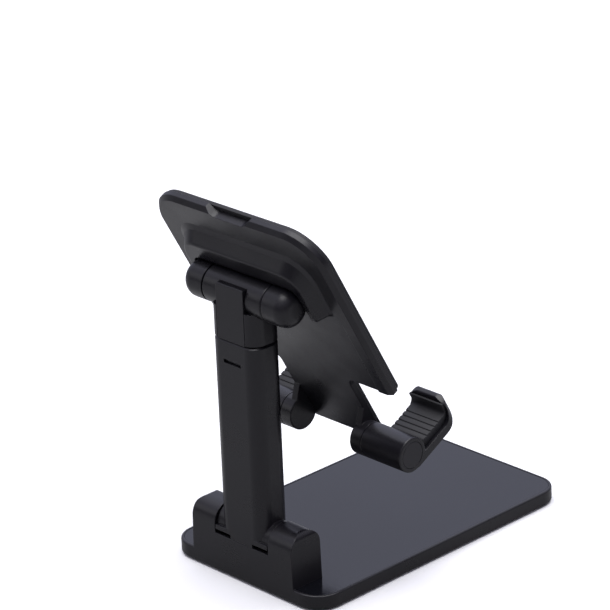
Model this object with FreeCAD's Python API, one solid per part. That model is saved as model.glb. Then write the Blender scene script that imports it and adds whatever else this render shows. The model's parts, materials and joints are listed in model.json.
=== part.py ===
"""Folding, telescopic phone stand: a weighted base, a column that folds and extends, and a
leaning cradle with two folding hooks.

Frame: X is the width, the user sits towards -Y, the column stands at +Y, +Z is up.
The origin is the centre of the base, on the surface that it stands on. Millimetres.
The cradle and its hooks are drawn upright in their own frame (x, a, c), where a runs rearwards
from the face that carries the phone and c runs up from the hooks' hinge axis, and are then leant
back about the cradle's hinge.
"""
import FreeCAD, Part
import math
import os
from FreeCAD import Vector

# ---------------------------------------------------------------- driving dimensions
# Base
BASE_WIDTH = 66.4
BASE_LENGTH = 108.5
BASE_CORNER = 8.5
FOOT_PAD_THICKNESS = 0.5
RIM_BOTTOM = 0.4             # the shell's lower rim stays just off the table
RIM_TOP = 5.0
BASE_EDGE_ROUND = 0.6
TOP_PLATE_INSET = 1.0        # rim left around the polished top plate
TOP_PLATE_THICKNESS = 0.5
TOP_PLATE_DEPTH = 0.6
COVER_INSET = 3.0
COVER_THICKNESS = 1.0
BALLAST_INSET = 10.0
BALLAST_THICKNESS = 1.6
FOOT_PAD_INSET = 5.0
BASE_SCREW_INSET = 7.0
BASE_SCREW_R = 0.9
BASE_SCREW_HEAD_R = 1.8
BASE_SCREW_HEAD_T = 0.5
BASE_SCREW_TIP = 3.6

# Hinge block at the rear of the base
BLOCK_WIDTH = 43.4           # at its top
BLOCK_DRAFT = 0.5            # each end is this much wider at the base
BLOCK_DEPTH = 12.2
BLOCK_TOP = 21.7
BLOCK_REAR_ROUND = 5.6
BLOCK_FRONT_ROUND = 4.6
NOTCH_WIDTH = 23.6
NOTCH_FLOOR = 9.7
REAR_WALL = 1.1
REAR_WALL_TOP = 13.2

# Column hinge
COLUMN_AXIS_Z = 16.1
COLUMN_AXIS_INSET = 6.5      # from the rear face to the axis
ROOT_R = 5.6
ROOT_GAP = 0.4               # open line on each side of the root
STOP_TAB_WIDTH = 9.6
STOP_TAB_GAP = 0.1
STOP_SLIT = 1.4
COLUMN_BOLT_R = 2.0

# Column tube and the extension inside it
COLUMN_WIDTH = 19.8
COLUMN_DEPTH = 12.0
COLUMN_CORNER = 4.4
COLUMN_TOP = 79.4
COLUMN_TOP_BEVEL = 0.5
BORE_WIDTH = 15.0
BORE_DEPTH = 8.0
BORE_CORNER = 1.8
BORE_FLOOR = 23.6
SLOT_WIDTH = 7.5
SLOT_HEIGHT = 1.3
SLOT_DROP = 6.6              # from the tube's top to the slot's centre
STEM_WIDTH = 13.0
STEM_DEPTH = 6.0
STEM_CORNER = 1.2
GUIDE_LENGTH = 10.0
SHOE_LENGTH = 12.0
SHOE_BOTTOM = 24.0
SPRING_LENGTH = 9.0
SPRING_WIDTH = 7.0
SPRING_THICKNESS = 0.3
SLIDE_GAP = 0.1

# Column head and the cradle's hinge
HEAD_AXIS_Z = 93.5
HEAD_SEAM = 0.3              # open line between the tube and the head
HEAD_COLLAR_TOP = 90.0
HEAD_BARREL_R = 6.0
HEAD_BARREL_WIDTH = 25.2
HEAD_SOCKET_TOP = 88.0
KEY_WIDTH = 11.6
KEY_TOP = 97.4
KEY_THICKNESS = 2.0
KEY_GAP = 0.25
HEAD_SCREW_Z = 84.2
CRADLE_BOLT_R = 1.75
KNUCKLE_GAP = 0.35
KNUCKLE_LENGTH = 9.1
KNUCKLE_ROUND = 3.8

# Cradle: a is the distance behind the phone, c the height above the hooks' axis
CRADLE_LEAN = 28.5           # degrees back from upright
HINGE_A = 10.7
HINGE_C = 63.6
CRADLE_WIDTH = 71.0
CRADLE_TOP = 89.5
CRADLE_CORNER = 12.5
PAD_THICKNESS = 1.4
PAD_INSET = 0.4
PANEL_BACK = 4.3
PANEL_BEVEL = 1.3
RECESS_BACK = 3.3
RIM_WIDTH = 5.4
RECESS_TOP = 56.5
THUMB_NOTCH_WIDTH = 17.0
THUMB_NOTCH_DEPTH = 2.2
PLATEAU_WIDTH = 57.0
PLATEAU_TOP = 80.0
PLATEAU_CORNER = 9.0
PLATEAU_FOOT = 0.7           # height of its soft edge above the panel
BOSS_WIDTH = 50.0
BOSS_TOP = 75.5
BOSS_CORNER = 7.0
BOSS_BACK = 8.4
BOSS_ROUND = 1.2
BOSS_GAP = 0.5               # open line between the boss and the hinge's barrels
POCKET_FLOOR = 4.2           # bottom of the boss's pocket for the barrels
WEB_BELOW = 4.5              # reach of the knuckles' webs below and above the hinge
WEB_ABOVE = 3.0
CUTOUT_TOP = 23.0
CUTOUT_ROUND = 3.0
TONGUE_WIDTH = 30.4
TONGUE_BOTTOM = -5.0

# Hooks
HOOK_A = 7.0
HOOK_R = 5.6
EAR_INNER = 12.9
EAR_THICKNESS = 4.5
HOOK_GAP = 0.3
HOOK_LENGTH = 16.6
HOOK_REACH = 21.2            # from the axis to the lip's outer face
HOOK_WALL = 2.5
HOOK_BEND = 7.0              # outer radius where the shelf turns up into the lip
LIP_HEIGHT = 9.8             # from the shelf's underside
LIP_CORNER = 5.0
HOOK_PAD_THICKNESS = 2.5
HOOK_PAD_LIP = 0.8
HOOK_PAD_MARGIN = 1.4
HOOK_PIN_R = 1.5
HOOK_PIN_HEAD_R = 2.6
HOOK_PIN_HEAD_T = 1.2
HOOK_CAP_R = 4.3
HOOK_CAP_T = 1.2
HOOK_WASHER_R = 3.2

# Fits and hinge hardware
RUNNING = 0.05               # radial clearance of a turning pin
SEAT = 0.02                  # radial clearance of a fixed pin
WASHER_T = 0.45
WASHER_COUNT = 2
HEAD_HEIGHT = 1.6
CAP_T = 1.3
CAP_GAP = 0.1
NUT_T = 2.4

# ---------------------------------------------------------------- places that follow from them
BASE_REAR = BASE_LENGTH / 2
AXIS_Y = BASE_REAR - COLUMN_AXIS_INSET
COLUMN_Y = BASE_REAR - COLUMN_DEPTH / 2
RECESS_FLOOR = RIM_TOP - TOP_PLATE_DEPTH
COVER_BOTTOM = FOOT_PAD_THICKNESS
COVER_TOP = COVER_BOTTOM + COVER_THICKNESS
BALLAST_TOP = COVER_TOP + BALLAST_THICKNESS
BLOCK_FRONT = BASE_REAR - BLOCK_DEPTH
ROOT_HALF = NOTCH_WIDTH / 2 - ROOT_GAP
WASHER_OUTER = NOTCH_WIDTH / 2 - SLIDE_GAP
HEAD_BOTTOM = COLUMN_TOP + HEAD_SEAM
BARREL_HALF = HEAD_BARREL_WIDTH / 2
KNUCKLE_INNER = BARREL_HALF + KNUCKLE_GAP
KNUCKLE_OUTER = KNUCKLE_INNER + KNUCKLE_LENGTH
EAR_OUTER = EAR_INNER + EAR_THICKNESS
HOOK_INNER = EAR_OUTER + HOOK_GAP
HOOK_OUTER = HOOK_INNER + HOOK_LENGTH
HOOK_CAP_INNER = HOOK_OUTER - HOOK_CAP_T
HOOK_BORE_FLOOR = HOOK_CAP_INNER - CAP_GAP - HOOK_PIN_HEAD_T - WASHER_T - CAP_GAP
SIDES = {"left": -1, "right": 1}


# ---------------------------------------------------------------- helpers
def box(x0, x1, y0, y1, z0, z1):
    return Part.makeBox(x1 - x0, y1 - y0, z1 - z0, Vector(x0, y0, z0))


def rounded_face(half_x, y0, y1, radius, z):
    """Rectangle, centred in X, with its four corners rounded."""
    corners = [(-half_x, y0), (half_x, y0), (half_x, y1), (-half_x, y1)]
    return Part.Face(rounded_wire([Vector(x, y, z) for x, y in corners], [radius] * 4))


def rounded_wire(points, radii):
    """Closed outline through the points, with each corner turned into an arc of its radius."""
    edges = []
    starts, ends = [], []
    count = len(points)
    for i, corner in enumerate(points):
        to_last = (points[i - 1] - corner).normalize()
        to_next = (points[(i + 1) % count] - corner).normalize()
        half = to_last.getAngle(to_next) / 2
        reach = radii[i] / math.tan(half)
        first, last = corner + to_last * reach, corner + to_next * reach
        starts.append(first)
        ends.append(last)
        if radii[i] > 0:
            inward = (to_last + to_next).normalize()
            middle = corner + inward * (radii[i] / math.sin(half) - radii[i])
            edges.append(Part.Arc(first, middle, last).toShape())
    for i in range(count):
        if (ends[i] - starts[(i + 1) % count]).Length > 1e-6:
            edges.append(Part.makeLine(ends[i], starts[(i + 1) % count]))
    return Part.Wire(Part.__sortEdges__(edges))


def rounded_block(half_x, y0, y1, z0, z1, radius):
    """Upright block with rounded vertical corners, centred in X."""
    return rounded_face(half_x, y0, y1, radius, z0).extrude(Vector(0, 0, z1 - z0))


def tube_section(width, depth, z0, z1, radius):
    """Rounded block about the column's centre line."""
    return rounded_block(width / 2, COLUMN_Y - depth / 2, COLUMN_Y + depth / 2, z0, z1, radius)


def rod(radius, x0, x1, y, z):
    """Cylinder along X."""
    return Part.makeCylinder(radius, x1 - x0, Vector(x0, y, z), Vector(1, 0, 0))


def peg(radius, z0, z1, x, y):
    """Cylinder along Z."""
    return Part.makeCylinder(radius, z1 - z0, Vector(x, y, z0))


def along_x(points, radii, x0, x1):
    """Solid whose (y, z) outline is drawn and then runs along X."""
    wire = rounded_wire([Vector(x0, y, z) for y, z in points], radii)
    return Part.Face(wire).extrude(Vector(x1 - x0, 0, 0))


def along_a(points, radii, a0, a1):
    """Solid whose (x, c) outline is drawn and then runs from front to back."""
    wire = rounded_wire([Vector(x, a0, c) for x, c in points], radii)
    return Part.Face(wire).extrude(Vector(0, a1 - a0, 0))


def hexagon(across, x0, x1, y, z):
    """Hexagonal prism along X."""
    size = across / math.sqrt(3)
    turns = [math.radians(60 * i + 30) for i in range(6)]
    outline = [(y + size * math.cos(t), z + size * math.sin(t)) for t in turns]
    return along_x(outline, [0] * 6, x0, x1)


def edges_where(shape, test):
    """Edges whose bounding box passes a test."""
    return [edge for edge in shape.Edges if test(edge.BoundBox)]


def flat_at_z(level):
    return lambda b: abs(b.ZMin - level) < 1e-4 and abs(b.ZMax - level) < 1e-4


def flat_at_y(level):
    return lambda b: abs(b.YMin - level) < 1e-4 and abs(b.YMax - level) < 1e-4


def flat_at_x(level):
    return lambda b: abs(b.XMin - level) < 1e-4 and abs(b.XMax - level) < 1e-4


def mirrored(shape):
    return shape.mirror(Vector(0, 0, 0), Vector(1, 0, 0))


def on_side(shape, side):
    """A piece drawn on the +X side, moved to the side that is asked for."""
    return shape if SIDES[side] > 0 else mirrored(shape)


def leant(shape):
    """From the cradle's upright frame to its place on the column."""
    placed = shape.copy()
    placed.translate(Vector(0, -HINGE_A, -HINGE_C))
    placed.rotate(Vector(0, 0, 0), Vector(1, 0, 0), -CRADLE_LEAN)
    placed.translate(Vector(0, AXIS_Y, HEAD_AXIS_Z))
    return placed


# ---------------------------------------------------------------- hinge hardware
def hinge_bolt(radius, inner, outer, y, z):
    """Bolt along X: its head lies under the cap on the +X side."""
    head_start = outer - CAP_T - CAP_GAP - HEAD_HEIGHT
    head = rod(radius * 1.7, head_start, head_start + HEAD_HEIGHT, y, z)
    recess = hexagon(radius * 1.5, head_start + HEAD_HEIGHT / 2, outer, y, z)
    return rod(radius, -inner - NUT_T - 1.0, head_start, y, z).fuse(head).cut(recess)


def bolt_seat(radius, inner, outer, y, z):
    """What the fixed side gives up for the bolt, its nut and its cap."""
    head_start = outer - CAP_T - CAP_GAP - HEAD_HEIGHT
    shank = rod(radius + SEAT, -inner - NUT_T - 1.2, outer, y, z)
    head = rod(radius * 1.7 + CAP_GAP, head_start, outer + 2, y, z)
    nut = hexagon(nut_across(radius) + 2 * SEAT, -inner - NUT_T, -inner + 1, y, z)
    return shank.fuse(head).fuse(nut)


def nut_across(radius):
    return radius * 3.4


def hinge_nut(radius, inner, y, z):
    body = hexagon(nut_across(radius), -inner - NUT_T, -inner, y, z)
    return body.cut(rod(radius + SEAT, -inner - NUT_T - 1, -inner + 1, y, z))


def hinge_cap(radius, outer, y, z):
    cap = rod(radius * 1.7, outer - CAP_T, outer, y, z)
    return cap.makeFillet(0.3, edges_where(cap, flat_at_x(outer)))


def washer_pocket(radius, outer, y, z):
    """Counterbore at the +X end of the turning side."""
    return rod(radius * 2.1 + CAP_GAP, outer - washer_stack(), outer + 1, y, z)


def washer_stack():
    return WASHER_COUNT * (WASHER_T + CAP_GAP)


def hinge_washers(radius, outer, y, z):
    rings = []
    for i in range(WASHER_COUNT):
        x0 = outer - washer_stack() + i * (WASHER_T + CAP_GAP)
        ring = rod(radius * 2.1, x0, x0 + WASHER_T, y, z)
        rings.append(ring.cut(rod(radius + RUNNING, x0 - 1, x0 + 1, y, z)))
    return Part.makeCompound(rings)


# ---------------------------------------------------------------- base
def base_slab(inset, z0, z1):
    """Block of the base's outline, taken in all round."""
    half_y = BASE_REAR - inset
    return rounded_block(BASE_WIDTH / 2 - inset, -half_y, half_y, z0, z1, max(BASE_CORNER - inset, 2.0))


def base_screw_places():
    x, y = BASE_WIDTH / 2 - BASE_SCREW_INSET, BASE_REAR - BASE_SCREW_INSET
    return [(sx * x, sy * y) for sx in (-1, 1) for sy in (-1, 1)]


def block_outline(grow):
    """Side outline of the hinge block, from inside the base up to its rounded top."""
    rear, front = BASE_REAR, BLOCK_FRONT - grow
    points = [(rear, RECESS_FLOOR), (rear, BLOCK_TOP), (front, BLOCK_TOP), (front, RECESS_FLOOR)]
    return points, [0, BLOCK_REAR_ROUND, BLOCK_FRONT_ROUND, 0]


def hinge_block():
    half, foot = BLOCK_WIDTH / 2, BLOCK_WIDTH / 2 + BLOCK_DRAFT
    points, radii = block_outline(0)
    block = along_x(points, radii, -foot, foot)
    ends = [(-foot, RECESS_FLOOR), (foot, RECESS_FLOOR), (half, BLOCK_TOP), (-half, BLOCK_TOP)]
    block = block.common(along_a(ends, [0, 0, 2.2, 2.2], BLOCK_FRONT - 1, BASE_REAR + 1))
    notch = box(-NOTCH_WIDTH / 2, NOTCH_WIDTH / 2, BLOCK_FRONT - 1, BASE_REAR - REAR_WALL,
                NOTCH_FLOOR, BLOCK_TOP + 1)
    over_wall = box(-NOTCH_WIDTH / 2, NOTCH_WIDTH / 2, BLOCK_FRONT - 1, BASE_REAR + 1,
                    REAR_WALL_TOP, BLOCK_TOP + 1)
    return block.cut(notch).cut(over_wall)


def base_shell():
    slab = base_slab(0, RIM_BOTTOM, RIM_TOP)
    rims = edges_where(slab, flat_at_z(RIM_BOTTOM)) + edges_where(slab, flat_at_z(RIM_TOP))
    shell = slab.makeFillet(BASE_EDGE_ROUND, rims)
    shell = shell.cut(base_slab(TOP_PLATE_INSET, RECESS_FLOOR, RIM_TOP + 1))
    shell = shell.fuse(block_foot()).fuse(hinge_block())
    shell = shell.cut(base_slab(COVER_INSET, RIM_BOTTOM - 1, COVER_TOP))
    shell = shell.cut(base_slab(BALLAST_INSET, COVER_TOP, BALLAST_TOP))
    for x, y in base_screw_places():
        shell = shell.cut(peg(BASE_SCREW_R + SEAT, COVER_TOP - 1, BASE_SCREW_TIP, x, y))
    shell = shell.cut(bolt_seat(COLUMN_BOLT_R, NOTCH_WIDTH / 2, BLOCK_WIDTH / 2, AXIS_Y, COLUMN_AXIS_Z))
    return shell.removeSplitter()


def block_foot():
    """Fills the top plate's recess behind and beneath the hinge block."""
    half = BLOCK_WIDTH / 2 + BLOCK_DRAFT
    return box(-half, half, BLOCK_FRONT, BASE_REAR - BASE_EDGE_ROUND, RECESS_FLOOR - 0.5, RIM_TOP)


def base_cover():
    cover = base_slab(COVER_INSET + CAP_GAP, COVER_BOTTOM, COVER_TOP)
    for x, y in base_screw_places():
        cover = cover.cut(peg(BASE_SCREW_R + CAP_GAP, 0, COVER_TOP + 1, x, y))
        cover = cover.cut(peg(BASE_SCREW_HEAD_R + CAP_GAP, 0, COVER_BOTTOM + BASE_SCREW_HEAD_T, x, y))
    return cover


def base_screws():
    screws = []
    for x, y in base_screw_places():
        head = peg(BASE_SCREW_HEAD_R, COVER_BOTTOM, COVER_BOTTOM + BASE_SCREW_HEAD_T, x, y)
        screws.append(head.fuse(peg(BASE_SCREW_R, COVER_BOTTOM, BASE_SCREW_TIP - CAP_GAP, x, y)))
    return Part.makeCompound(screws)


def base_ballast():
    return base_slab(BALLAST_INSET + CAP_GAP, COVER_TOP, BALLAST_TOP)


def base_top_plate():
    plate = base_slab(TOP_PLATE_INSET + CAP_GAP, RECESS_FLOOR, RECESS_FLOOR + TOP_PLATE_THICKNESS)
    half = BLOCK_WIDTH / 2 + BLOCK_DRAFT + CAP_GAP
    return plate.cut(box(-half, half, BLOCK_FRONT - CAP_GAP, BASE_REAR + 1, 0, RIM_TOP + 1))


def base_foot_pad():
    return base_slab(FOOT_PAD_INSET, 0, FOOT_PAD_THICKNESS)


# ---------------------------------------------------------------- column
def column_root():
    """Barrel between the lugs, with the flat back whose middle rests on the rear wall."""
    barrel = rod(ROOT_R, -ROOT_HALF, ROOT_HALF, AXIS_Y, COLUMN_AXIS_Z)
    slit_top = REAR_WALL_TOP + STOP_SLIT
    flat = box(-ROOT_HALF, ROOT_HALF, AXIS_Y, BASE_REAR, slit_top, COLUMN_AXIS_Z)
    tab = box(-STOP_TAB_WIDTH / 2, STOP_TAB_WIDTH / 2, AXIS_Y, BASE_REAR,
              REAR_WALL_TOP + STOP_TAB_GAP, COLUMN_AXIS_Z)
    return barrel.fuse(flat).fuse(tab)


def column_tube():
    tube = tube_section(COLUMN_WIDTH, COLUMN_DEPTH, COLUMN_AXIS_Z, COLUMN_TOP, COLUMN_CORNER)
    tube = tube.makeChamfer(COLUMN_TOP_BEVEL, edges_where(tube, flat_at_z(COLUMN_TOP)))
    tube = tube.fuse(column_root())
    tube = tube.cut(tube_section(BORE_WIDTH, BORE_DEPTH, BORE_FLOOR, COLUMN_TOP + 1, BORE_CORNER))
    tube = tube.cut(latch_slot(0, COLUMN_DEPTH))
    tube = tube.cut(rod(COLUMN_BOLT_R + RUNNING, -ROOT_HALF - 1, ROOT_HALF + 1, AXIS_Y, COLUMN_AXIS_Z))
    tube = tube.cut(washer_pocket(COLUMN_BOLT_R, WASHER_OUTER, AXIS_Y, COLUMN_AXIS_Z))
    return tube.removeSplitter()


def latch_slot(gap, depth):
    """Cross slot in the rear wall, or with a gap the latch that fills it."""
    z = COLUMN_TOP - SLOT_DROP
    return box(-SLOT_WIDTH / 2 + gap, SLOT_WIDTH / 2 - gap, COLUMN_Y + BORE_DEPTH / 2,
               COLUMN_Y + BORE_DEPTH / 2 + depth, z - SLOT_HEIGHT / 2 + gap, z + SLOT_HEIGHT / 2 - gap)


def slide_guide():
    """Sleeve in the tube's mouth that the stem runs in, held by a latch in the slot."""
    bottom = COLUMN_TOP - COLUMN_TOP_BEVEL - GUIDE_LENGTH
    top = COLUMN_TOP - COLUMN_TOP_BEVEL
    sleeve = tube_section(BORE_WIDTH, BORE_DEPTH, bottom, top, BORE_CORNER)
    hole = tube_section(STEM_WIDTH + 2 * SLIDE_GAP, STEM_DEPTH + 2 * SLIDE_GAP, bottom - 1, top + 1,
                        STEM_CORNER + SLIDE_GAP)
    latch_depth = (COLUMN_DEPTH - BORE_DEPTH) / 4
    return sleeve.fuse(latch_slot(CAP_GAP, latch_depth)).cut(hole).removeSplitter()


# ---------------------------------------------------------------- extension
def extension_stem():
    stem = tube_section(STEM_WIDTH, STEM_DEPTH, SHOE_BOTTOM + 1.0, HEAD_SOCKET_TOP, STEM_CORNER)
    return stem.cut(screw_hole(COLUMN_Y - STEM_DEPTH / 2 + 1.0))


def screw_hole(y_end):
    y0 = key_front() + 1
    return Part.makeCylinder(BASE_SCREW_R + SEAT, y0 - y_end, Vector(0, y0, HEAD_SCREW_Z), Vector(0, -1, 0))


def key_front():
    return BASE_REAR - KEY_THICKNESS


def stem_shoe():
    """Foot of the stem: it runs in the bore and meets the guide at full reach."""
    shoe = tube_section(BORE_WIDTH - 2 * SLIDE_GAP, BORE_DEPTH - 2 * SLIDE_GAP, SHOE_BOTTOM,
                        SHOE_BOTTOM + SHOE_LENGTH, BORE_CORNER - SLIDE_GAP)
    inside = tube_section(STEM_WIDTH, STEM_DEPTH, SHOE_BOTTOM + 1.0, SHOE_BOTTOM + SHOE_LENGTH + 1,
                          STEM_CORNER)
    rear = COLUMN_Y + STEM_DEPTH / 2
    middle = SHOE_BOTTOM + SHOE_LENGTH / 2 + 0.4
    window = box(-SPRING_WIDTH / 2 - CAP_GAP, SPRING_WIDTH / 2 + CAP_GAP, rear - 0.1, rear + BORE_DEPTH,
                 middle - SPRING_LENGTH / 2 - CAP_GAP, middle + SPRING_LENGTH / 2 + CAP_GAP)
    return shoe.cut(inside).cut(window)


def stem_spring():
    """Bowed leaf on the back of the stem that rubs on the tube and holds the height."""
    rear = COLUMN_Y + STEM_DEPTH / 2
    middle = SHOE_BOTTOM + SHOE_LENGTH / 2 + 0.4
    bow = (BORE_DEPTH - STEM_DEPTH) / 2 - SPRING_THICKNESS - CAP_GAP
    half = SPRING_LENGTH / 2
    ends = [Vector(-SPRING_WIDTH / 2, rear, middle + s * half) for s in (-1, 1)]
    crest = Vector(-SPRING_WIDTH / 2, rear + bow, middle)
    lift = Vector(0, SPRING_THICKNESS, 0)
    edges = [Part.Arc(ends[0], crest, ends[1]).toShape(), Part.makeLine(ends[1], ends[1] + lift),
             Part.Arc(ends[1] + lift, crest + lift, ends[0] + lift).toShape(),
             Part.makeLine(ends[0] + lift, ends[0])]
    return Part.Face(Part.Wire(edges)).extrude(Vector(SPRING_WIDTH, 0, 0))


def column_head():
    collar = tube_section(COLUMN_WIDTH, COLUMN_DEPTH, HEAD_BOTTOM, HEAD_COLLAR_TOP, COLUMN_CORNER)
    collar = collar.makeChamfer(COLUMN_TOP_BEVEL / 2, edges_where(collar, flat_at_z(HEAD_BOTTOM)))
    barrel = rod(HEAD_BARREL_R, -BARREL_HALF, BARREL_HALF, AXIS_Y, HEAD_AXIS_Z)
    rounds = edges_where(barrel, flat_at_x(BARREL_HALF)) + edges_where(barrel, flat_at_x(-BARREL_HALF))
    barrel = barrel.makeFillet(0.5, rounds)
    neck_half = COLUMN_WIDTH / 2 - COLUMN_CORNER / 2
    neck = box(-neck_half, neck_half, AXIS_Y - HEAD_BARREL_R + 1.0, AXIS_Y + HEAD_BARREL_R - 1.8,
               HEAD_COLLAR_TOP - 1, HEAD_AXIS_Z)
    key_room = box(-KEY_WIDTH / 2 - KEY_GAP, KEY_WIDTH / 2 + KEY_GAP, key_front(), BASE_REAR + 1,
                   HEAD_BOTTOM - 1, HEAD_AXIS_Z + HEAD_BARREL_R + 1)
    head = collar.fuse(barrel).fuse(neck).cut(key_room)
    head = head.cut(tube_section(STEM_WIDTH, STEM_DEPTH, HEAD_BOTTOM - 1, HEAD_SOCKET_TOP, STEM_CORNER))
    head = head.cut(screw_hole(AXIS_Y))
    head = head.cut(rod(CRADLE_BOLT_R + RUNNING, -BARREL_HALF - 1, BARREL_HALF + 1, AXIS_Y, HEAD_AXIS_Z))
    head = head.cut(washer_pocket(CRADLE_BOLT_R, BARREL_HALF, AXIS_Y, HEAD_AXIS_Z))
    return head.removeSplitter()


def head_key():
    """Flat tongue that covers the head's screw and carries the column's flat back to the top."""
    half = KEY_WIDTH / 2
    key = box(-half, half, key_front(), BASE_REAR, HEAD_BOTTOM, KEY_TOP)
    key = key.makeFillet(0.5, edges_where(key, flat_at_z(KEY_TOP)))
    room = Part.makeCylinder(BASE_SCREW_HEAD_R + CAP_GAP, BASE_SCREW_HEAD_T + CAP_GAP,
                             Vector(0, key_front(), HEAD_SCREW_Z), Vector(0, 1, 0))
    return key.cut(room)


def head_screw():
    head = Part.makeCylinder(BASE_SCREW_HEAD_R, BASE_SCREW_HEAD_T, Vector(0, key_front(), HEAD_SCREW_Z),
                             Vector(0, 1, 0))
    tip = COLUMN_Y - STEM_DEPTH / 2 + 1.2
    shank = Part.makeCylinder(BASE_SCREW_R, key_front() - tip, Vector(0, tip, HEAD_SCREW_Z),
                              Vector(0, 1, 0))
    return head.fuse(shank)


# ---------------------------------------------------------------- cradle, drawn upright
def cradle_outline(inset):
    """Front outline of the cradle: full panel above, tongue between the two cut-outs below."""
    half, tongue = CRADLE_WIDTH / 2 - inset, TONGUE_WIDTH / 2 - inset
    top, cut, bottom = CRADLE_TOP - inset, CUTOUT_TOP + inset, TONGUE_BOTTOM + inset
    right = [(tongue, bottom), (tongue, cut), (half, cut), (half, top)]
    left = [(-x, c) for x, c in reversed(right)]
    corner = CRADLE_CORNER - inset
    right_radii = [3.0, CUTOUT_ROUND, 2.0, corner]
    return right + left, right_radii + right_radii[::-1]


def thumb_notch():
    half, drop = THUMB_NOTCH_WIDTH / 2, THUMB_NOTCH_DEPTH
    points = [(-half - drop, CRADLE_TOP + 1), (-half + drop, CRADLE_TOP - drop),
              (half - drop, CRADLE_TOP - drop), (half + drop, CRADLE_TOP + 1)]
    return along_a(points, [0, 3.0, 3.0, 0], PAD_THICKNESS, PANEL_BACK + 1)


def panel():
    points, radii = cradle_outline(0)
    body = along_a(points, radii, PAD_THICKNESS, PANEL_BACK)
    body = body.makeChamfer(PANEL_BEVEL, edges_where(body, flat_at_y(PANEL_BACK)))
    half = CRADLE_WIDTH / 2 - RIM_WIDTH
    recess = [(-half, TONGUE_BOTTOM - 1), (half, TONGUE_BOTTOM - 1), (half, RECESS_TOP), (-half, RECESS_TOP)]
    body = body.cut(along_a(recess, [0, 0, 3.0, 3.0], RECESS_BACK, PANEL_BACK + 1))
    return body.cut(thumb_notch())


def raised_outline(half, top, corner, a):
    """Outline of the mound around the hinge at the distance a."""
    points = [(-half, RECESS_TOP), (half, RECESS_TOP), (half, top), (-half, top)]
    return rounded_wire([Vector(x, a, c) for x, c in points], [2.0, 2.0, corner, corner])


def boss():
    """Mound on the panel's back: a soft foot that rises to a flat boss around the hinge."""
    half = PLATEAU_WIDTH / 2
    foot = raised_outline(half, PLATEAU_TOP, PLATEAU_CORNER, PANEL_BACK)
    base = Part.Face(foot).extrude(Vector(0, PAD_THICKNESS - PANEL_BACK, 0))
    rim = raised_outline(half - 1.4, PLATEAU_TOP - 1.8, PLATEAU_CORNER - 0.8, PANEL_BACK + PLATEAU_FOOT)
    crest = raised_outline(BOSS_WIDTH / 2, BOSS_TOP, BOSS_CORNER, BOSS_BACK)
    mound = Part.makeLoft([foot, rim], True, True).fuse(Part.makeLoft([rim, crest], True, True))
    mound = mound.removeSplitter()
    return mound.makeFillet(BOSS_ROUND, edges_where(mound, flat_at_y(BOSS_BACK))).fuse(base)


def barrel_pocket():
    """Room in the boss around the hinge's barrels, open below."""
    radius, outer = HEAD_BARREL_R + BOSS_GAP, KNUCKLE_OUTER + BOSS_GAP
    room = rod(radius, -outer, outer, HINGE_A, HINGE_C)
    rounds = edges_where(room, flat_at_x(outer)) + edges_where(room, flat_at_x(-outer))
    room = room.makeFillet(KNUCKLE_ROUND, rounds)
    below = box(-outer, outer, POCKET_FLOOR, BOSS_BACK + 1, RECESS_TOP - 1, HINGE_C)
    return room.fuse(below)


def knuckle():
    """End knuckle on the +X side, rounded outside, with the web that joins it to the panel."""
    barrel = rod(HEAD_BARREL_R, KNUCKLE_INNER, KNUCKLE_OUTER, HINGE_A, HINGE_C)
    barrel = barrel.makeFillet(KNUCKLE_ROUND, edges_where(barrel, flat_at_x(KNUCKLE_OUTER)))
    web = box(KNUCKLE_INNER, KNUCKLE_OUTER - KNUCKLE_ROUND, PAD_THICKNESS + 0.5, HINGE_A,
              HINGE_C - WEB_BELOW, HINGE_C + WEB_ABOVE)
    return barrel.fuse(web)


def ear():
    """Round ear on the +X side of the tongue that holds a hook's pin."""
    barrel = rod(HOOK_R, EAR_INNER, EAR_OUTER, HOOK_A, 0)
    barrel = barrel.makeFillet(0.4, edges_where(barrel, flat_at_x(EAR_INNER)))
    root = box(EAR_INNER, TONGUE_WIDTH / 2, PAD_THICKNESS, HOOK_A, TONGUE_BOTTOM + 1.5, HOOK_R + 2)
    top = along_x([(PAD_THICKNESS, HOOK_R + 6), (PAD_THICKNESS, 0), (HOOK_A, 0), (HOOK_A, HOOK_R)],
                  [0, 0, 0, 0], EAR_INNER, TONGUE_WIDTH / 2)
    return barrel.fuse(root.common(top)).fuse(top)


def cradle_plate():
    body = panel().fuse(boss()).cut(barrel_pocket())
    for place in (knuckle(), ear()):
        body = body.fuse(place).fuse(mirrored(place))
    body = body.cut(bolt_seat(CRADLE_BOLT_R, KNUCKLE_INNER, KNUCKLE_OUTER, HINGE_A, HINGE_C))
    pin_hole = rod(HOOK_PIN_R + SEAT, EAR_INNER + 1.0, EAR_OUTER + 1, HOOK_A, 0)
    return body.cut(pin_hole).cut(mirrored(pin_hole)).removeSplitter()


def cradle_pad():
    points, radii = cradle_outline(PAD_INSET)
    pad = along_a(points, radii, 0, PAD_THICKNESS)
    return pad.makeFillet(0.5, edges_where(pad, flat_at_y(0)))


# ---------------------------------------------------------------- hooks, drawn on the +X side
def hook_profile(inner, outer):
    """Shelf that leaves the barrel at a tangent, runs forward and turns up into the lip."""
    under, lip_top = -HOOK_R, -HOOK_R + LIP_HEIGHT
    front, back = HOOK_A - HOOK_REACH, HOOK_A - HOOK_REACH + HOOK_WALL
    points = [(HOOK_A, under), (front, under), (front, lip_top), (back, lip_top),
              (back, under + HOOK_WALL), (HOOK_A, under + HOOK_WALL)]
    radii = [0, HOOK_BEND, 0.9, 0.9, HOOK_BEND - HOOK_WALL, 0]
    return along_x(points, radii, inner, outer)


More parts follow.
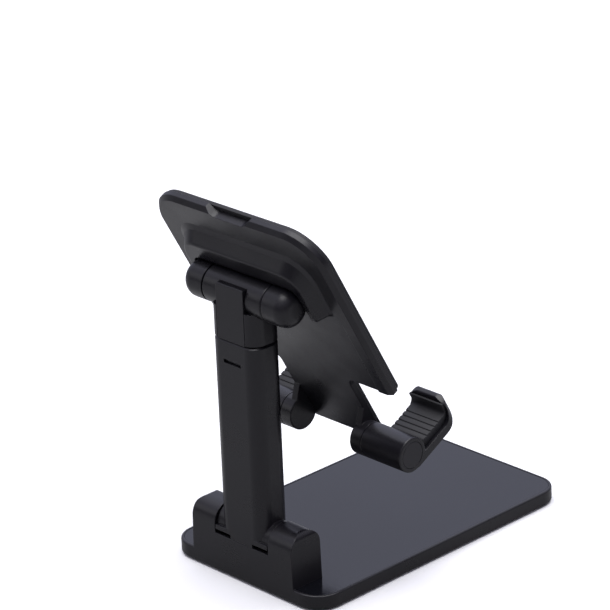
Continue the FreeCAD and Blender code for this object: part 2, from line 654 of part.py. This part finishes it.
def hook_body():
    barrel = rod(HOOK_R, HOOK_INNER, HOOK_OUTER, HOOK_A, 0)
    barrel = barrel.makeFillet(0.4, edges_where(barrel, flat_at_x(HOOK_OUTER)))
    shelf = hook_profile(HOOK_INNER, HOOK_OUTER)
    lip_top = -HOOK_R + LIP_HEIGHT
    face = [(HOOK_INNER, -HOOK_R - 1), (HOOK_OUTER, -HOOK_R - 1), (HOOK_OUTER, lip_top), (HOOK_INNER, lip_top)]
    front = HOOK_A - HOOK_REACH
    shelf = shelf.common(along_a(face, [0, 0, LIP_CORNER, LIP_CORNER], front - 1, HOOK_A + 1))
    plan = [Vector(x, a, -HOOK_R - 1) for x, a in
            ((HOOK_INNER, HOOK_A), (HOOK_OUTER, HOOK_A), (HOOK_OUTER, front), (HOOK_INNER, front))]
    outline = Part.Face(rounded_wire(plan, [0, 0, LIP_CORNER, LIP_CORNER]))
    shelf = shelf.common(outline.extrude(Vector(0, 0, LIP_HEIGHT + 2)))
    hook = barrel.fuse(shelf)
    hook = hook.cut(rod(HOOK_PIN_R + RUNNING, HOOK_INNER - 1, HOOK_OUTER + 1, HOOK_A, 0))
    return hook.cut(rod(HOOK_CAP_R + SEAT, HOOK_BORE_FLOOR, HOOK_OUTER + 1, HOOK_A, 0)).removeSplitter()


def hook_pad():
    """Soft L-shaped liner on the shelf and behind the lip."""
    floor = -HOOK_R + HOOK_WALL
    lip = HOOK_A - HOOK_REACH + HOOK_WALL
    clear = HOOK_A - HOOK_R - 0.6
    points = [(clear, floor), (lip, floor), (lip, -HOOK_R + LIP_HEIGHT - 1.2),
              (lip + HOOK_PAD_LIP, -HOOK_R + LIP_HEIGHT - 1.2), (lip + HOOK_PAD_LIP, floor + HOOK_PAD_THICKNESS),
              (clear, floor + HOOK_PAD_THICKNESS)]
    bend = HOOK_BEND - HOOK_WALL
    return along_x(points, [0, bend, 0.3, 0.3, 1.0, 0.8], HOOK_INNER + HOOK_PAD_MARGIN,
                   HOOK_OUTER - HOOK_PAD_MARGIN)


def hook_pin():
    head_start = HOOK_BORE_FLOOR + CAP_GAP + WASHER_T
    shank = rod(HOOK_PIN_R, EAR_INNER + 1.2, head_start, HOOK_A, 0)
    return shank.fuse(rod(HOOK_PIN_HEAD_R, head_start, head_start + HOOK_PIN_HEAD_T, HOOK_A, 0))


def hook_washer():
    ring = rod(HOOK_WASHER_R, HOOK_BORE_FLOOR, HOOK_BORE_FLOOR + WASHER_T, HOOK_A, 0)
    return ring.cut(rod(HOOK_PIN_R + RUNNING, HOOK_BORE_FLOOR - 1, HOOK_BORE_FLOOR + 1, HOOK_A, 0))


def hook_cap():
    cap = rod(HOOK_CAP_R, HOOK_CAP_INNER, HOOK_OUTER, HOOK_A, 0)
    return cap.makeFillet(0.3, edges_where(cap, flat_at_x(HOOK_OUTER)))


# ---------------------------------------------------------------- all the nodes
def column_nodes():
    column_hinge = (AXIS_Y, COLUMN_AXIS_Z)
    return {
        "base_shell": base_shell(),
        "base_cover": base_cover(),
        "base_ballast": base_ballast(),
        "base_top_plate": base_top_plate(),
        "base_foot_pad": base_foot_pad(),
        "base_screws": base_screws(),
        "column_hinge_bolt": hinge_bolt(COLUMN_BOLT_R, NOTCH_WIDTH / 2, BLOCK_WIDTH / 2, *column_hinge),
        "column_hinge_nut": hinge_nut(COLUMN_BOLT_R, NOTCH_WIDTH / 2, *column_hinge),
        "column_hinge_cap": hinge_cap(COLUMN_BOLT_R, BLOCK_WIDTH / 2, *column_hinge),
        "column_hinge_washers": hinge_washers(COLUMN_BOLT_R, WASHER_OUTER, *column_hinge),
        "column_tube": column_tube(),
        "slide_guide": slide_guide(),
        "extension_stem": extension_stem(),
        "stem_shoe": stem_shoe(),
        "stem_spring": stem_spring(),
        "column_head": column_head(),
        "head_key": head_key(),
        "head_screw": head_screw(),
        "cradle_hinge_washers": hinge_washers(CRADLE_BOLT_R, BARREL_HALF, AXIS_Y, HEAD_AXIS_Z),
    }


def cradle_nodes():
    cradle_hinge = (HINGE_A, HINGE_C)
    nodes = {
        "cradle_plate": cradle_plate(),
        "cradle_pad": cradle_pad(),
        "cradle_hinge_bolt": hinge_bolt(CRADLE_BOLT_R, KNUCKLE_INNER, KNUCKLE_OUTER, *cradle_hinge),
        "cradle_hinge_nut": hinge_nut(CRADLE_BOLT_R, KNUCKLE_INNER, *cradle_hinge),
        "cradle_hinge_cap": hinge_cap(CRADLE_BOLT_R, KNUCKLE_OUTER, *cradle_hinge),
    }
    for side in SIDES:
        nodes["hook_" + side] = on_side(hook_body(), side)
        nodes["hook_pad_" + side] = on_side(hook_pad(), side)
        nodes["hook_pin_" + side] = on_side(hook_pin(), side)
        nodes["hook_washer_" + side] = on_side(hook_washer(), side)
        nodes["hook_cap_" + side] = on_side(hook_cap(), side)
    return {name: leant(shape) for name, shape in nodes.items()}


def main():
    os.makedirs("parts", exist_ok=True)
    for name, shape in {**column_nodes(), **cradle_nodes()}.items():
        shape.exportStep("parts/" + name + ".step")


main()
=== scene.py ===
"""Looks for a folding, telescopic phone stand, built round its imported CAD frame.

Metres, in the frame's axes: X is the width, the user sits towards -Y, the column stands at +Y.
"""
import json
import math

import bmesh
import bpy
from mathutils import Matrix, Vector


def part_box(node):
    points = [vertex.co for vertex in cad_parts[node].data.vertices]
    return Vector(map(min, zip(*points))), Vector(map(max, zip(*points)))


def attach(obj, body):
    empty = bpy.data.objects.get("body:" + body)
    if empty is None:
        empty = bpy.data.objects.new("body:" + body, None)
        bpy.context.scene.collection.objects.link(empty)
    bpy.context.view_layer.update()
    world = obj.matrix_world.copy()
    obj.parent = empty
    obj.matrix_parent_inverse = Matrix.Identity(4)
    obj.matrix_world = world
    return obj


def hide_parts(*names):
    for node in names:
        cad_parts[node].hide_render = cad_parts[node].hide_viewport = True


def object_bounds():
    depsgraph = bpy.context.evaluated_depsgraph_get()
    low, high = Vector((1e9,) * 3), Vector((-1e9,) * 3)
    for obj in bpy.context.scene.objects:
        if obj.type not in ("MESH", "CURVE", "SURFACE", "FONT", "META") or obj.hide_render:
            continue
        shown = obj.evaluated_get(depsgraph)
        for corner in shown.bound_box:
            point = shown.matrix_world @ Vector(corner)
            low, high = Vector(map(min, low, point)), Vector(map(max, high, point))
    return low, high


MM = 0.001

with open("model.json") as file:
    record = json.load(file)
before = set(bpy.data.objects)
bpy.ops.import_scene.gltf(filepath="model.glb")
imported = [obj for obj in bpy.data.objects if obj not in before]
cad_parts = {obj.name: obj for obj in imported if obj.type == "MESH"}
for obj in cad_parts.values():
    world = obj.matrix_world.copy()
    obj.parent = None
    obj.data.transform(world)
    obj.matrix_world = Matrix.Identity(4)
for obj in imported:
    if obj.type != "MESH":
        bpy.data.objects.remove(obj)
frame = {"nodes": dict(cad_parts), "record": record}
NODES = frame["nodes"]
cad_box = [list(corner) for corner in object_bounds()]


# ---------------------------------------------------------------- node helpers
class Shader:
    """A material under construction: its principled shader and short ways to add nodes."""

    def __init__(self, name, color, roughness, **sockets):
        self.material = bpy.data.materials.new(name)
        self.material.use_nodes = True
        self.tree = self.material.node_tree
        self.bsdf = self.tree.nodes["Principled BSDF"]
        self.bsdf.inputs["Base Color"].default_value = (*color, 1)
        self.bsdf.inputs["Roughness"].default_value = roughness
        for socket, value in sockets.items():
            self.bsdf.inputs[socket.replace("_", " ")].default_value = value
        self.coordinates = self.add("ShaderNodeTexCoord").outputs["Object"]
        self.height = None

    def add(self, kind, **values):
        node = self.tree.nodes.new(kind)
        for name, value in values.items():
            setattr(node, name, value)
        return node

    def link(self, output, socket):
        self.tree.links.new(output, socket)

    def stretched(self, scale):
        """Coordinates scaled per axis, which draws noise out along the axis with the smallest scale."""
        mapping = self.add("ShaderNodeMapping")
        mapping.inputs["Scale"].default_value = scale
        self.link(self.coordinates, mapping.inputs["Vector"])
        return mapping.outputs["Vector"]

    def noise(self, size, detail=3.0, vector=None):
        """Noise whose blotches are about this size in metres."""
        node = self.add("ShaderNodeTexNoise")
        node.inputs["Scale"].default_value = 1 / size
        node.inputs["Detail"].default_value = detail
        self.link(vector or self.coordinates, node.inputs["Vector"])
        return node.outputs["Fac"]

    def remap(self, value, low, high, to_low, to_high):
        """The value carried from one range to another, and held at its ends."""
        node = self.add("ShaderNodeMapRange")
        for name, number in (("From Min", low), ("From Max", high), ("To Min", to_low), ("To Max", to_high)):
            node.inputs[name].default_value = number
        self.link(value, node.inputs["Value"])
        return node.outputs["Result"]

    def mixed(self, factor, first, second):
        """Colour between two colours, either of which may be a colour tuple or an output."""
        node = self.add("ShaderNodeMix", data_type="RGBA")
        self.link(factor, node.inputs["Factor"])
        for socket, value in ((node.inputs["A"], first), (node.inputs["B"], second)):
            if isinstance(value, tuple):
                socket.default_value = (*value, 1)
            else:
                self.link(value, socket)
        return node.outputs["Result"]

    def combined(self, operation, first, second):
        node = self.add("ShaderNodeMath", operation=operation)
        for socket, value in zip(node.inputs, (first, second)):
            if isinstance(value, (int, float)):
                socket.default_value = value
            else:
                self.link(value, socket)
        return node.outputs["Value"]

    def bump(self, height, depth, strength=1.0):
        """Adds a relief of this depth in metres on top of any relief before it."""
        node = self.add("ShaderNodeBump")
        node.inputs["Strength"].default_value = strength
        node.inputs["Distance"].default_value = depth
        self.link(height, node.inputs["Height"])
        if self.height is not None:
            self.link(self.height, node.inputs["Normal"])
        self.height = node.outputs["Normal"]
        self.link(self.height, self.bsdf.inputs["Normal"])

    def soft_edges(self, radius):
        """Rounds the shading over the sharp edges; gives how near a point is to such an edge, 0 to 1."""
        bevel = self.add("ShaderNodeBevel", samples=4)
        bevel.inputs["Radius"].default_value = radius
        self.height = bevel.outputs["Normal"]
        across = self.add("ShaderNodeVectorMath", operation="DOT_PRODUCT")
        self.link(bevel.outputs["Normal"], across.inputs[0])
        self.link(self.add("ShaderNodeNewGeometry").outputs["Normal"], across.inputs[1])
        return self.remap(across.outputs["Value"], 0.995, 0.9, 0.0, 1.0)

    def color(self, output):
        self.link(output, self.bsdf.inputs["Base Color"])

    def roughness(self, output):
        self.link(output, self.bsdf.inputs["Roughness"])


def scaled(color, factor):
    return tuple(channel * factor for channel in color)


# ---------------------------------------------------------------- materials
def moulded_plastic(name, color, roughness, grain=0.35 * MM, depth=0.012 * MM):
    """Satin black plastic: fine pebble grain, hairlines, edges painted lighter where rubbed (wear plus a painted
    sheen) and a few specks of dust.
    """
    s = Shader(name, color, roughness, Specular_IOR_Level=0.5)
    pebbles = s.noise(grain, 2.0)
    handling = s.noise(14 * MM, 4.0)
    rubbing = s.noise(2.2 * MM, 4.0)
    hairlines = s.noise(1.6 * MM, 2.0, s.stretched((9, 1, 1)))
    edges = s.soft_edges(0.3 * MM)
    # Mask of rubbed edges: it carries real wear and also a painted sheen along the edges.
    wear_and_sheen = s.combined("MULTIPLY", edges, s.remap(rubbing, 0.42, 0.66, 0.15, 0.9))
    base = s.mixed(s.remap(handling, 0.3, 0.7, 0.0, 1.0), scaled(color, 0.88), scaled(color, 1.14))
    dusty = s.mixed(s.remap(s.noise(0.8 * MM, 3.0), 0.72, 0.8, 0.0, 0.35), base, (0.06, 0.06, 0.062))
    # Edges are painted lighter here: partly rubbed wear, partly a painted sheen.
    s.color(s.mixed(wear_and_sheen, dusty, scaled(color, 2.6)))
    spread = s.remap(handling, 0.35, 0.7, roughness - 0.05, roughness + 0.07)
    grainy = s.combined("ADD", spread, s.remap(pebbles, 0.3, 0.7, -0.03, 0.03))
    scratched = s.combined("ADD", grainy, s.remap(hairlines, 0.62, 0.72, 0.0, 0.06))
    s.roughness(s.combined("SUBTRACT", scratched, s.combined("MULTIPLY", wear_and_sheen, 0.07)))
    s.bump(pebbles, depth, 0.6)
    s.bump(s.noise(11 * MM, 1.0), 0.02 * MM, 0.35)
    return s.material


def polished_plate(name, color):
    """Polished black plate with a blue cast, faint wiping marks and a little settled dust."""
    s = Shader(name, color, 0.1, Specular_IOR_Level=0.5)
    cloud = s.noise(30 * MM, 3.0)
    dust = s.noise(0.6 * MM, 3.0)
    wiping = s.noise(3 * MM, 4.0, s.stretched((1, 14, 1)))
    tone = s.mixed(s.remap(cloud, 0.3, 0.7, 0.0, 1.0), scaled(color, 0.9), scaled(color, 1.1))
    s.color(s.mixed(s.remap(dust, 0.66, 0.8, 0.0, 0.3), tone, (0.12, 0.12, 0.125)))
    s.roughness(s.remap(wiping, 0.3, 0.75, 0.08, 0.17))
    s.bump(s.noise(9 * MM, 2.0), 0.01 * MM, 0.4)
    return s.material


def silicone(name, color):
    """Matt rubber with a dusty film and a fine skin."""
    s = Shader(name, color, 0.62, Specular_IOR_Level=0.4)
    dust = s.noise(1.2 * MM, 6.0)
    film = s.noise(18 * MM, 3.0)
    base = s.mixed(s.remap(film, 0.3, 0.7, 0.0, 1.0), scaled(color, 0.9), scaled(color, 1.15))
    s.color(s.mixed(s.remap(dust, 0.68, 0.8, 0.0, 0.35), base, scaled(color, 3.0)))
    s.roughness(s.remap(film, 0.3, 0.7, 0.55, 0.7))
    s.bump(s.noise(0.5 * MM, 2.0), 0.015 * MM, 0.6)
    return s.material


def metal(name, color, roughness, along=(1, 40, 40)):
    """Brushed metal, its brushing drawn out along one axis."""
    s = Shader(name, color, roughness, Metallic=1.0)
    brushing = s.noise(6 * MM, 4.0, s.stretched(along))
    s.roughness(s.remap(brushing, 0.3, 0.7, roughness - 0.08, roughness + 0.1))
    s.color(s.mixed(s.remap(brushing, 0.3, 0.7, 0.0, 1.0), scaled(color, 0.85), color))
    s.bump(brushing, 0.004 * MM, 0.5)
    return s.material


BLACK = (0.0065, 0.006, 0.0086)
MATERIALS = {
    "base_plastic": moulded_plastic("base black plastic", BLACK, 0.32),
    "column_plastic": moulded_plastic("column black plastic", scaled(BLACK, 0.95), 0.32),
    "cradle_plastic": moulded_plastic("cradle black plastic", scaled(BLACK, 1.05), 0.32),
    "hook_plastic": moulded_plastic("hook black plastic", BLACK, 0.32),
    "cap_plastic": moulded_plastic("cap black plastic", scaled(BLACK, 1.5), 0.36, depth=0.01 * MM),
    "top_plate": polished_plate("polished top plate", (0.003, 0.0034, 0.0055)),
    "silicone": silicone("black silicone", (0.02, 0.02, 0.022)),
    "foot_rubber": silicone("foot rubber", (0.016, 0.016, 0.017)),
    "guide_plastic": moulded_plastic("guide plastic", (0.05, 0.05, 0.055), 0.4),
    "steel": metal("zinc plated steel", (0.56, 0.56, 0.58), 0.3),
    "ballast_steel": metal("plain steel", (0.3, 0.3, 0.31), 0.5),
    "spring_steel": metal("spring steel", (0.4, 0.42, 0.46), 0.25),
    "stem_alloy": metal("brushed alloy", (0.55, 0.55, 0.57), 0.3, along=(40, 40, 1)),
}
for part in frame["record"]["subparts"]:
    for material_slot in NODES[part["node"]].material_slots:
        material_slot.material = MATERIALS[part["material_slot"]]


# ---------------------------------------------------------------- soft pieces
def rounded_outline(points, radii, steps=10):
    """Corners of a flat outline turned into arcs; the outline runs anticlockwise."""
    outline = []
    for i, (corner, radius) in enumerate(zip(points, radii)):
        corner = Vector(corner)
        before = (Vector(points[i - 1]) - corner).normalized()
        after = (Vector(points[(i + 1) % len(points)]) - corner).normalized()
        if radius == 0:
            outline.append(corner)
            continue
        half = before.angle(after) / 2
        middle = corner + (before + after).normalized() * radius / math.sin(half)
        start = corner + before * radius / math.tan(half) - middle
        turn = start.angle_signed(corner + after * radius / math.tan(half) - middle)
        for step in range(steps + 1):
            spoke = start.copy()
            spoke.rotate(Matrix.Rotation(-turn * step / steps, 2))
            outline.append(middle + spoke)
    return outline


def shrunk(outline, inset):
    """The same outline, moved inwards by the inset at each point."""
    count, moved = len(outline), []
    for i, point in enumerate(outline):
        along = (point - outline[i - 1]).normalized() + (outline[(i + 1) % count] - point).normalized()
        along.normalize()
        bend = along.dot((outline[(i + 1) % count] - point).normalized())
        moved.append(point + Vector((-along.y, along.x)) * inset / max(bend, 0.5))
    return moved


def add_shell(mesh, outline, profile, place):
    """Closed shell through rings of the outline; the profile lists each ring's inset and level."""
    rings = []
    for inset, level in profile:
        rings.append([mesh.verts.new(place(point.x, point.y, level)) for point in shrunk(outline, inset)])
    for low, high in zip(rings, rings[1:]):
        for i in range(len(low)):
            mesh.faces.new((low[i - 1], low[i], high[i], high[i - 1]))
    mesh.faces.new(rings[0][::-1])
    mesh.faces.new(rings[-1])


def soft_piece(name, node, body, material_slot, shells, place):
    """Silicone piece made of closed shells that stands for a CAD node and rides on its body."""
    mesh = bmesh.new()
    for outline, profile in shells:
        add_shell(mesh, outline, profile, place)
    bmesh.ops.recalc_face_normals(mesh, faces=mesh.faces)
    bmesh.ops.triangulate(mesh, faces=[face for face in mesh.faces if len(face.verts) > 4])
    data = bpy.data.meshes.new(name)
    mesh.to_mesh(data)
    mesh.free()
    for face in data.polygons:
        face.use_smooth = True
    data.set_sharp_from_angle(angle=math.radians(50))
    data.materials.append(MATERIALS[material_slot])
    piece = bpy.data.objects.new(name, data)
    bpy.context.scene.collection.objects.link(piece)
    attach(piece, body)
    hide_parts(node)


def rib(u0, u1, v, width, base, crest):
    """Low round-topped bar along u, from just under the base level up to the crest level."""
    r = width / 2
    outline = rounded_outline([(u0, v - r), (u1, v - r), (u1, v + r), (u0, v + r)], [r * 0.98] * 4, 5)
    rise = crest - base
    profile = [(0, base - rise * 0.5), (0, base + rise * 0.35), (0.3 * r, base + rise * 0.8), (0.62 * r, crest)]
    return outline, profile


# The cradle's own upright axes: a points back through the panel from the pad's face, c up along it.
phone_rest = next(mount for mount in frame["record"]["mounts"] if mount["name"] == "phone_rest")
cradle_a = -Vector(phone_rest["axis"])
cradle_c = Vector((1, 0, 0)).cross(cradle_a)
PHONE_REST_C = 45 * MM
cradle_zero = Vector(phone_rest["pos_m"]) - cradle_c * PHONE_REST_C


def in_cradle(x, a, c):
    """Point in the row frame of a point in the cradle's own axes."""
    return cradle_zero + Vector((x, 0, 0)) + cradle_a * a + cradle_c * c


def cradle_pad():
    """Anti-slip pad on the cradle's face: rolled edge, a shallow border channel and cross ribs."""
    half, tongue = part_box("cradle_pad")[1].x, 14.8 * MM
    top, shoulder, bottom = 89.1 * MM, 23.4 * MM, -4.6 * MM
    top_corner = 12.1 * MM
    right = [(tongue, bottom), (tongue, shoulder), (half, shoulder), (half, top)]
    points = right + [(-x, c) for x, c in reversed(right)]
    radii = [3 * MM, 3.2 * MM, 2 * MM, top_corner]
    thick, field = 1.4 * MM, 0.4 * MM
    edge = [(0, thick), (0, 0.55 * MM), (0.06 * MM, 0.3 * MM), (0.22 * MM, 0.1 * MM), (0.5 * MM, 0),
            (1.5 * MM, 0), (1.75 * MM, 0.12 * MM), (1.9 * MM, field)]
    shells = [(rounded_outline(points, radii + radii[::-1]), edge)]
    rib_width, rib_pitch, rib_inset = 1.5 * MM, 3.2 * MM, 3.6 * MM
    c = -1.0 * MM
    while c < top - rib_inset:
        reach = (tongue if c < shoulder + 3 * MM else half) - rib_inset
        into_corner = max(0.0, c - (top - top_corner))
        reach -= top_corner - math.sqrt(max(0.0, top_corner ** 2 - into_corner ** 2))
        shells.append(rib(-reach, reach, c, rib_width, field, 0.0))
        c += rib_pitch
    soft_piece("cradle_grip_pad", "cradle_pad", "cradle", "silicone", shells,
               lambda x, c, a: in_cradle(x, a, c))


def hook_pad(side):
    """L-shaped liner on the hook's shelf and behind its lip, with grip ridges along the shelf."""
    low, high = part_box("hook_pad_" + side)
    floor, top, lip_top = -3.1 * MM, -0.6 * MM, 3.0 * MM
    lip, clear = -11.7 * MM, 0.8 * MM
    lip_thickness = 0.8 * MM
    groove_depth, groove_pitch = 0.3 * MM, 1.9 * MM
    points, radii = [(lip, floor), (clear, floor), (clear, top)], [4.5 * MM, 0.3 * MM, 0.8 * MM]
    a = clear - 1.7 * MM
    while a > lip + 3.4 * MM:
        groove = ((0, 0), (0.15 * MM, groove_depth), (0.55 * MM, groove_depth), (0.7 * MM, 0))
        points += [(a - across, top - down) for across, down in groove]
        radii += [0.1 * MM] * len(groove)
        a -= groove_pitch
    inner = lip + lip_thickness
    points += [(inner, top), (inner, lip_top), (lip, lip_top)]
    radii += [1.0 * MM, 0.3 * MM, 0.3 * MM]
    end = [(0.09 * MM, 0), (0.03 * MM, 0.03 * MM), (0, 0.1 * MM)]
    ends = [(inset, low.x + step) for inset, step in end] + [(inset, high.x - step) for inset, step in end[::-1]]
    soft_piece("hook_liner_" + side, "hook_pad_" + side, "hook_" + side, "silicone",
               [(rounded_outline(points, radii, 4), ends)], lambda a, c, x: in_cradle(x, a, c))


def base_foot():
    """Anti-slip sheet under the base: a rounded rim round a field of ribs that stand on the table."""
    low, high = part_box("base_foot_pad")
    corner, field = 3.5 * MM, 0.22 * MM
    points = [(low.x, low.y), (high.x, low.y), (high.x, high.y), (low.x, high.y)]
    edge = [(0, high.z), (0, 0.15 * MM), (0.15 * MM, low.z), (1.9 * MM, low.z), (2.1 * MM, field)]
    shells = [(rounded_outline(points, [corner] * 4), edge)]
    rib_width, rib_pitch, rib_inset = 1.4 * MM, 3.0 * MM, 3.6 * MM
    y = low.y + 4.2 * MM
    while y < high.y - 4 * MM:
        shells.append(rib(low.x + rib_inset, high.x - rib_inset, y, rib_width, field, low.z))
        y += rib_pitch
    soft_piece("base_foot_sheet", "base_foot_pad", "base", "foot_rubber", shells,
               lambda x, y, z: Vector((x, y, z)))


cradle_pad()
for side in ("left", "right"):
    hook_pad(side)
base_foot()


# ---------------------------------------------------------------- stage, lights and camera
# Brightness of the studio that lights the object: a lit backdrop at its front, on the +X side, and a dim horizon
# round the rest. The camera itself sees a white world and a white floor.
BACKDROP_TOWARD = (0.75, -0.66, 0.0)
BACKDROP_BRIGHT, HORIZON_DARK, OVERHEAD = 0.46, 0.04, 0.58
FLOOR_CAST = 0.32
COOL, BLUE = (0.95, 0.92, 1.1), (0.84, 0.93, 1.22)
FLOOR_SEEN = 0.97


def studio_floor():
    """A pale floor that stays white in the picture while it lights the underside of the object only softly."""
    bpy.ops.mesh.primitive_plane_add(size=6, location=(0, 0, cad_box[0][2] - 0.2 * MM))
    floor = bpy.context.object
    floor.name = "studio_floor"
    s = Shader("pale floor", (FLOOR_SEEN,) * 3, 0.9, Specular_IOR_Level=0.0)
    seen = s.add("ShaderNodeLightPath").outputs["Is Camera Ray"]
    s.color(s.mixed(seen, (FLOOR_CAST,) * 3, (FLOOR_SEEN,) * 3))
    floor.data.materials.append(s.material)


def soft_box(name, place, target, size, power):
    """Rectangular lamp that faces the target and that the camera doesn't see."""
    data = bpy.data.lights.new(name, "AREA")
    data.shape = "RECTANGLE"
    data.size, data.size_y = size
    data.energy = power
    light = bpy.data.objects.new(name, data)
    light.visible_camera = False
    light.location = place
    light.rotation_euler = (Vector(target) - Vector(place)).to_track_quat("-Z", "Y").to_euler()
    bpy.context.scene.collection.objects.link(light)


def studio_world():
    """White to the camera; to the object a bluish backdrop, a dim horizon and a soft sky."""
    world = bpy.data.worlds.new("studio")
    world.use_nodes = True
    tree = world.node_tree
    place = tree.nodes.new("ShaderNodeTexCoord").outputs["Generated"]

    def glow(toward, start, stop, low, high):
        """Brightness that grows from low to high as a direction turns towards the given one."""
        facing = tree.nodes.new("ShaderNodeVectorMath")
        facing.operation = "DOT_PRODUCT"
        facing.inputs[1].default_value = toward
        tree.links.new(place, facing.inputs[0])
        ramp = tree.nodes.new("ShaderNodeMapRange")
        ramp.interpolation_type = "SMOOTHSTEP"
        for name, number in (("From Min", start), ("From Max", stop), ("To Min", low), ("To Max", high)):
            ramp.inputs[name].default_value = number
        tree.links.new(facing.outputs["Value"], ramp.inputs["Value"])
        return ramp.outputs["Result"]

    sky = tree.nodes.new("ShaderNodeMath")
    sky.operation = "ADD"
    backdrop = glow(BACKDROP_TOWARD, 0.0, 0.9, HORIZON_DARK, BACKDROP_BRIGHT)
    tree.links.new(backdrop, sky.inputs[0])
    tree.links.new(glow((0, 0, 1), 0.0, 0.8, 0.0, OVERHEAD), sky.inputs[1])
    cast = tree.nodes["Background"]
    tint = tree.nodes.new("ShaderNodeMix")
    tint.data_type = "RGBA"
    tint.inputs["A"].default_value = (*COOL, 1)
    tint.inputs["B"].default_value = (*BLUE, 1)
    tree.links.new(backdrop, tint.inputs["Factor"])
    tree.links.new(tint.outputs["Result"], cast.inputs["Color"])
    tree.links.new(sky.outputs["Value"], cast.inputs["Strength"])
    seen = tree.nodes.new("ShaderNodeBackground")
    seen.inputs["Color"].default_value = (1, 1, 1, 1)
    chosen = tree.nodes.new("ShaderNodeMixShader")
    tree.links.new(tree.nodes.new("ShaderNodeLightPath").outputs["Is Camera Ray"], chosen.inputs["Fac"])
    tree.links.new(cast.outputs["Background"], chosen.inputs[1])
    tree.links.new(seen.outputs["Background"], chosen.inputs[2])
    tree.links.new(chosen.outputs["Shader"], tree.nodes["World Output"].inputs["Surface"])
    bpy.context.scene.world = world


def studio_light():
    middle = (0, 0, 0.06)
    overhead = bpy.data.lights.new("overhead", "SUN")
    overhead.energy, overhead.angle = 2.65, math.radians(60)
    bpy.context.scene.collection.objects.link(bpy.data.objects.new("overhead", overhead))
    soft_box("side", (0.9, 0.9, 0.5), middle, (0.5, 0.5), 0.5)
    soft_box("bounce", (0.16, -0.01, 0.003), (0.16, -0.01, 1.0), (0.2, 0.2), 0.025)


def photo_camera(azimuth, elevation, roll, distance, target, focal):
    """Camera that looks at the target; azimuth 0 looks along +Y."""
    a, e, r = (math.radians(angle) for angle in (azimuth, elevation, roll))
    back = Vector((math.sin(a) * math.cos(e), -math.cos(a) * math.cos(e), math.sin(e)))
    right = Vector((0, 0, 1)).cross(back).normalized()
    up = back.cross(right)
    rolled_right = right * math.cos(r) + up * math.sin(r)
    rolled_up = up * math.cos(r) - right * math.sin(r)
    data = bpy.data.cameras.new("photo_camera")
    data.lens = focal
    data.sensor_width = 36
    data.clip_start, data.clip_end = 0.01, 50
    camera = bpy.data.objects.new("photo_camera", data)
    turn = Matrix((rolled_right, rolled_up, back)).transposed().to_4x4()
    camera.matrix_world = Matrix.Translation(Vector(target) + back * distance) @ turn
    bpy.context.scene.collection.objects.link(camera)
    bpy.context.scene.camera = camera


studio_floor()
studio_world()
studio_light()
bpy.context.scene.view_settings.view_transform = "Standard"
photo_camera(azimuth=226.88, elevation=22.30, roll=-2.32, distance=0.9885,
             target=(0.01022, 0.01425, 0.0763), focal=190.82)
